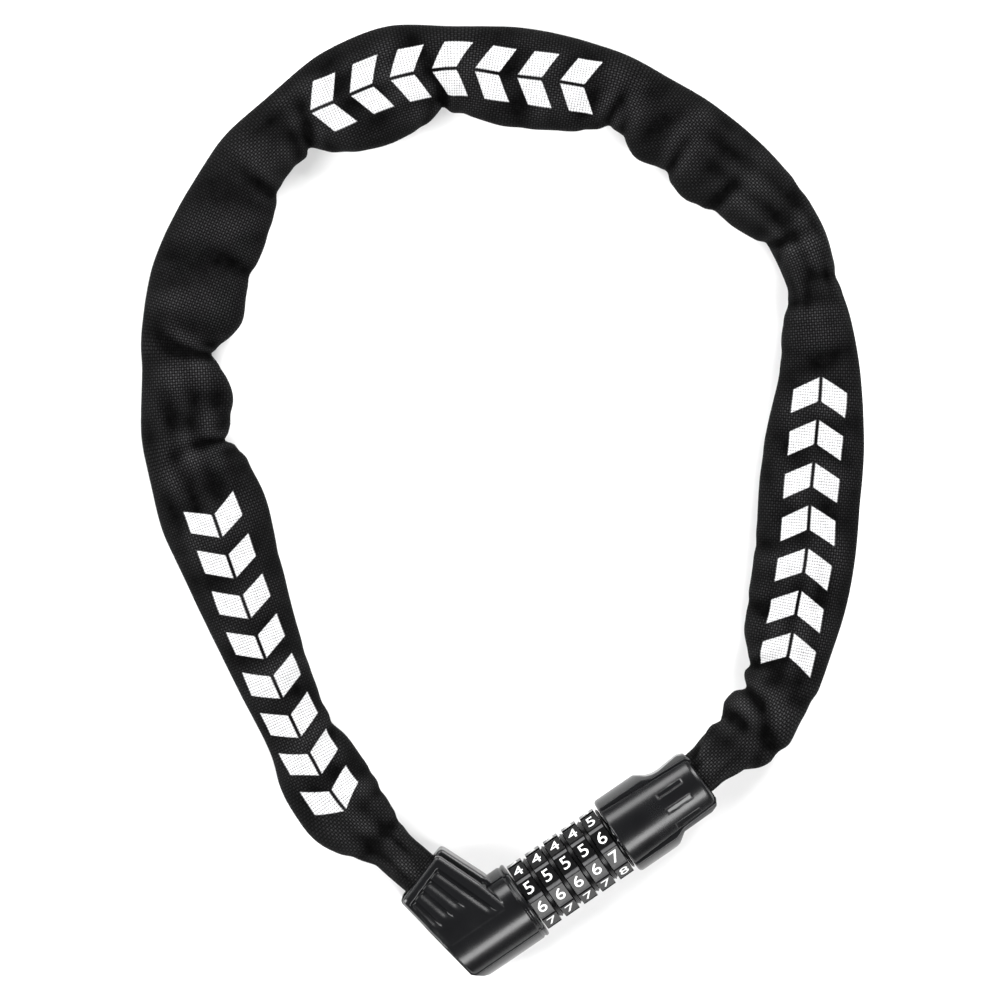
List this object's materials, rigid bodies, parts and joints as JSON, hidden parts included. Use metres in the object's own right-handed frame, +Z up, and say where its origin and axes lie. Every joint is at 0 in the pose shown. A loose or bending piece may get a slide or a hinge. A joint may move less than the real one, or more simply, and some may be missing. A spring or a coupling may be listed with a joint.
{
  "type": "combination chain lock",
  "caption": "Bicycle chain lock with number wheels on a barrel, an angled lock body, a pull-out plug and a steel chain inside a woven fabric sleeve, closed in a loop and lying flat",
  "frame": {"origin": "bottom centre of the bounding box of the closed lock lying flat", "axes": "+X along the barrel from the lock body to the plug, +Y from the barrel toward the far side of the loop, +Z up from the surface it lies on"},
  "size_m": [0.2962, 0.3294, 0.0312],
  "materials": {
    "shell_plastic": "satin black moulded plastic, finely grained",
    "wheel_plastic": "black plastic with white printed numerals",
    "ring_plastic": "black plastic",
    "brass": "machined",
    "steel": "plated",
    "chain_steel": "hardened and plated",
    "sleeve_fabric": "coarse black woven polyester with a white print"
  },
  "bodies": {
    "lock_body": {"body_back_shell": "shell_plastic", "body_front_shell": "shell_plastic", "body_screw_1": "steel", "body_screw_2": "steel", "body_screw_3": "steel", "core_tube": "steel", "core_flange": "steel", "core_end_ring": "ring_plastic", "detent_spring": "steel", "spacer_ring_1": "ring_plastic", "spacer_ring_2": "ring_plastic", "spacer_ring_3": "ring_plastic", "spacer_ring_4": "ring_plastic", "body_anchor_block": "steel", "body_chain_pin": "steel", "chain_link_01": "chain_steel", "chain_link_02": "chain_steel", "chain_link_03": "chain_steel", "chain_link_04": "chain_steel", "chain_link_05": "chain_steel", "chain_link_06": "chain_steel", "chain_link_07": "chain_steel", "chain_link_08": "chain_steel", "chain_link_09": "chain_steel", "chain_link_10": "chain_steel", "chain_link_11": "chain_steel", "sleeve_body_half": "sleeve_fabric"},
    "plug": {"plug_back_shell": "shell_plastic", "plug_front_shell": "shell_plastic", "plug_screw_1": "steel", "plug_screw_2": "steel", "locking_pin": "steel", "plug_anchor_block": "steel", "plug_chain_pin": "steel"},
    "chain_plug_half": {"chain_link_12": "chain_steel", "chain_link_13": "chain_steel", "chain_link_14": "chain_steel", "chain_link_15": "chain_steel", "chain_link_16": "chain_steel", "chain_link_17": "chain_steel", "chain_link_18": "chain_steel", "chain_link_19": "chain_steel", "chain_link_20": "chain_steel", "chain_link_21": "chain_steel", "chain_link_22": "chain_steel", "chain_link_23": "chain_steel", "chain_link_24": "chain_steel", "chain_link_25": "chain_steel", "sleeve_plug_half": "sleeve_fabric"},
    "wheel_1": {"number_wheel_1": "wheel_plastic", "code_ring_1": "brass"},
    "wheel_2": {"number_wheel_2": "wheel_plastic", "code_ring_2": "brass"},
    "wheel_3": {"number_wheel_3": "wheel_plastic", "code_ring_3": "brass"},
    "wheel_4": {"number_wheel_4": "wheel_plastic", "code_ring_4": "brass"},
    "wheel_5": {"number_wheel_5": "wheel_plastic", "code_ring_5": "brass"}
  },
  "joints": [
    {"name": "wheel_1_turn", "type": "hinge", "parent": "lock_body", "child": "wheel_1", "pos_m": [-0.0893, -0.1485, 0.0152], "axis": [1, 0, 0], "continuous": true},
    {"name": "wheel_2_turn", "type": "hinge", "parent": "lock_body", "child": "wheel_2", "pos_m": [-0.0809, -0.1485, 0.0152], "axis": [1, 0, 0], "continuous": true},
    {"name": "wheel_3_turn", "type": "hinge", "parent": "lock_body", "child": "wheel_3", "pos_m": [-0.0725, -0.1485, 0.0152], "axis": [1, 0, 0], "continuous": true},
    {"name": "wheel_4_turn", "type": "hinge", "parent": "lock_body", "child": "wheel_4", "pos_m": [-0.0641, -0.1485, 0.0152], "axis": [1, 0, 0], "continuous": true},
    {"name": "wheel_5_turn", "type": "hinge", "parent": "lock_body", "child": "wheel_5", "pos_m": [-0.0557, -0.1485, 0.0152], "axis": [1, 0, 0], "continuous": true},
    {"name": "plug_slide", "type": "slide", "parent": "lock_body", "child": "plug", "axis": [1, 0, 0], "range_m": [0, 0.045]},
    {"name": "chain_flex", "type": "hinge", "parent": "lock_body", "child": "chain_plug_half", "pos_m": [0.00838, 0.1479, 0.0087], "axis": [0, 0, 1], "range_deg": [0, 8.7]}
  ],
  "couplings": [
    {"joint": "chain_flex", "follows": "plug_slide", "rad_per_m": 3.368}
  ]
}
